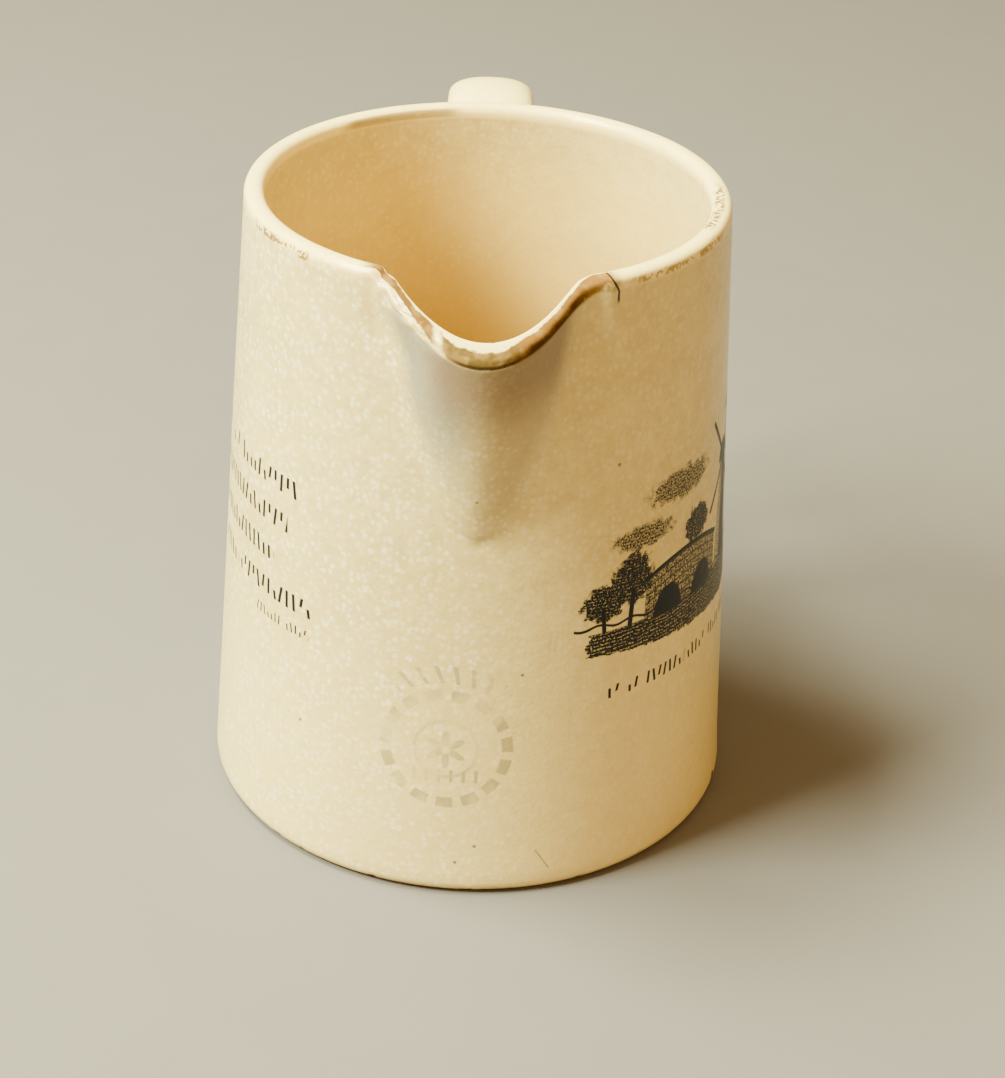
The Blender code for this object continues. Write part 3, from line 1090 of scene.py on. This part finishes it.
def worn_lip_and_painted_light(spot, colour, grain):
    """The lip worn to the clay: tan on the left, olive at its lowest point, brown on the right; with a
    painted highlight along the rim's top and on the handle, and a painted shadow line under the lip's
    edge.
    """
    ragged = grain.ragged
    left = step(spot.angle, -0.10, -0.16)
    right = step(spot.angle, 0.06, 0.14)
    notch = step(JUG.notch_angle + 0.03 * right - spot.away, -0.03, 0.05)
    crest = step(spot.depth, 2.9, 1.9) * step(spot.across, -0.05, 0.03)
    middle = 0.76 - 0.24 * left - 0.04 * right
    half = 0.25 + 0.02 * left + 0.11 * right
    gap = 1.0 - 0.8 * band(spot.angle + 0.05 * ragged, -0.165, -0.135, 0.012)
    # Painted highlight: the top of the rim and the handle are painted brighter.
    bright = crest * step(spot.across, 1.04, 0.94) + handle_painted_light(spot)
    colour = blend(smaller(bright, 1.0) * 0.75, colour, COLOUR.painted_highlight)
    stripe = notch * crest * step(abs(spot.across - middle + ragged * 0.5) - half, 0.05, -0.05) * gap
    bare = blend(left, COLOUR.olive_clay, COLOUR.tan_clay)
    bare = blend(right, bare, COLOUR.brown_clay)
    bare = blend(step(grain.medium, 0.58, 0.42) * 0.45, bare, COLOUR.pale_clay)
    colour = blend(stripe * 0.98, colour, bare)
    burnt = notch * crest * right * step(spot.across + ragged * 0.5, 0.72, 0.92)
    burnt = burnt * step(spot.angle, 0.42, 0.30)
    colour = blend(burnt * 0.85, colour, COLOUR.burnt)
    chipped = notch * crest * left * step(spot.across + ragged * 0.7, 0.80, 0.90)
    colour = blend(chipped * 0.85, colour, COLOUR.chipped)
    # Painted shadow: a thin dark line just under the outer edge of the lip, where it overhangs.
    groove = notch * band(spot.depth, 1.75, 2.35, 0.15) * step(abs(spot.angle - 0.005), 0.13, 0.07)
    groove = groove * step(spot.across, 0.86, 0.96)
    colour = blend(groove * 0.92, colour, COLOUR.groove)

    # Hairline crack at the right ear
    leaning = spot.angle - 0.500 - 0.030 * step(spot.depth, 0.0, 3.0) + (grain.medium - 0.5) * 0.016
    crack = step(abs(leaning), 0.0072, 0.0034) * step(spot.across, 0.30, 0.45) * step(spot.depth, 5.2, 4.2)
    return blend(crack * 0.95, colour, COLOUR.crack), stripe, notch


def worn_rim(spot, colour, grain, notch):
    """Brown nicks and thin bare lines round the rim."""
    rim = step(spot.depth, 2.5, 1.9) * (1.0 - notch)
    flaked = step(grain.medium + 1.3 * (grain.fine - 0.5), 0.44, 0.58)
    right = band(spot.angle + grain.ragged * 0.2, 1.16, 1.68, 0.06)
    right = right * band(spot.across + grain.ragged * 0.5, 0.18, 0.66, 0.10)
    front = band(spot.angle, 0.60, 1.20, 0.06) * band(spot.across, 0.93, 1.2, 0.03) * 0.7
    left = band(spot.angle, -1.16, -0.74, 0.04) * band(spot.across, 0.93, 1.2, 0.04)
    back = band(spot.angle, -2.98, -2.40, 0.06) * band(spot.across, 0.02, 0.16, 0.05) * 0.8
    edges = larger(step(spot.across, 0.90, 0.97), step(spot.across, 0.16, 0.06))
    anywhere = step(grain.patchy, 0.60, 0.70) * edges
    patch = rim * larger(largest(right, front, left, anywhere * 0.8) * flaked, back)
    return blend(patch * 0.90, colour, COLOUR.nick), patch


def worn_foot(spot, colour, grain):
    """A brown edge, a chip and a scratch at the foot."""
    edge = spot.outside * step(spot.up + 2.4 * (grain.medium - 0.5), 1.7, 0.5)
    colour = blend(edge * 0.60, colour, COLOUR.foot_edge)
    chip = blot(spot, (63.8, 2.0), (1.1, 1.7), grain.ragged * 1.8) * spot.outside
    scratch = pen_line(spot, (12.8, 9.0), (15.4, 5.0), 0.30) * spot.outside * 0.6
    return blend(larger(chip, scratch) * 0.85, colour, COLOUR.dirt), chip


def make_worn_and_shaded_glaze():
    """The glaze of the rim, the beak and the foot, which is stained and worn through to dull clay, with
    painted shade on the beak and under the lip and a painted highlight along the rim's top.
    """
    material, tree = new_material("worn_and_shaded_glaze")
    spot = where_on_jug(tree)
    colour, grain = cream_glaze(tree, spot)
    colour = specks(tree, spot, colour, SPECKS.worn)
    colour = beak_shade_and_stains(spot, colour, grain)
    colour, stripe, notch = worn_lip_and_painted_light(spot, colour, grain)
    colour, patch = worn_rim(spot, colour, grain, notch)
    colour, chip = worn_foot(spot, colour, grain)
    bump = grain_bump(tree, grain)
    shiny = glossy(tree, colour, 0.26 + 0.10 * grain.fine, 0.32, bump)
    given = {"Base Color": colour, "Roughness": 0.85, "Normal": bump, "Specular IOR Level": 0.0}
    clay = tree.node("ShaderNodeBsdfPrincipled", None, given)
    bare_clay = largest(stripe, patch, chip)
    finish_material(tree, tree.node("ShaderNodeMixShader", None, {0: bare_clay, 1: shiny, 2: clay}))
    return material


# The room


def make_floor():
    """A pale floor that sweeps up behind the jug."""
    profile = [(-FLOOR.reach, 0.0), (FLOOR.bend_start, 0.0)]
    for number in range(1, FLOOR.bend_steps + 1):
        turn = 0.5 * math.pi * number / FLOOR.bend_steps
        along = FLOOR.bend_start + FLOOR.bend * math.sin(turn)
        profile.append((along, FLOOR.bend * (1.0 - math.cos(turn))))
    profile.append((FLOOR.bend_start + FLOOR.bend, FLOOR.top))
    bm = bmesh.new()
    left = [bm.verts.new((-FLOOR.reach, y, z)) for y, z in profile]
    right = [bm.verts.new((FLOOR.reach, y, z)) for y, z in profile]
    for number in range(len(profile) - 1):
        bm.faces.new((left[number], right[number], right[number + 1], left[number + 1]))
    mesh = bpy.data.meshes.new("floor_sweep")
    bm.to_mesh(mesh)
    bm.free()
    mesh.shade_smooth()
    floor = bpy.data.objects.new("floor_sweep", mesh)
    bpy.context.scene.collection.objects.link(floor)

    material, tree = new_material("pale_floor")
    place = tree.node("ShaderNodeTexCoord").other("Object")
    grain = noise(tree, place, 60.0, 3.0)
    colour = blend(grain, COLOUR.floor, COLOUR.pale_floor)
    shader = tree.node("ShaderNodeBsdfPrincipled", None, {"Base Color": colour, "Roughness": 0.75})
    finish_material(tree, shader)
    mesh.materials.append(material)
    return floor


def make_light(name, place, power, colour):
    """A square soft light that points at the jug."""
    light = bpy.data.lights.new(name, "AREA")
    light.shape = "SQUARE"
    light.size = LIGHT_SIZE
    light.energy = power
    light.color = colour
    lamp = bpy.data.objects.new(name, light)
    lamp.location = place
    lamp.rotation_euler = (Vector(LIGHT_TARGET) - Vector(place)).to_track_quat("-Z", "Y").to_euler()
    bpy.context.scene.collection.objects.link(lamp)


def make_camera():
    """The camera of the photograph, turned about the jug's axis."""
    camera = bpy.data.cameras.new("camera")
    camera.sensor_width = 36.0
    camera.lens = 36.0 * FOCAL_SHARE
    camera.clip_start = 0.01
    camera.clip_end = 20.0
    holder = bpy.data.objects.new("camera", camera)
    tilt = Matrix.Rotation(0.5 * math.pi - VIEW_HEIGHT, 4, "X") @ Matrix.Rotation(VIEW_ROLL, 4, "Z")
    placed_at = Matrix.Translation(Vector(VIEW_PLACE)) @ tilt
    turned = Matrix.Rotation(-VIEW_TURN, 4, "Z") @ placed_at
    holder.matrix_world = Matrix.Translation((0.0, JUG.axis_y, 0.0)) @ turned
    bpy.context.scene.collection.objects.link(holder)
    bpy.context.scene.camera = holder


def make_world():
    """The even warm light of the room."""
    world = bpy.data.worlds.new("studio")
    world.use_nodes = True
    world.node_tree.nodes.clear()
    tree = Tree(world.node_tree)
    glow = tree.node("ShaderNodeBackground", None, {"Color": ROOM_GLOW, "Strength": ROOM_BRIGHTNESS})
    tree.node("ShaderNodeOutputWorld", None, {"Surface": glow})
    bpy.context.scene.world = world


print_glazes = (
    make_printed_glaze("verse_glaze", verse, ()),
    make_printed_glaze("view_glaze", country_view, SPECKS.view),
    make_etched_glaze(),
)
jug = make_jug(make_plain_glaze(), make_worn_and_shaded_glaze(), print_glazes)
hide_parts("jug")
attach(jug, "root")

make_floor()
make_camera()
make_world()
for name, place, power, colour in LIGHTS:
    make_light(name, place, power, colour)
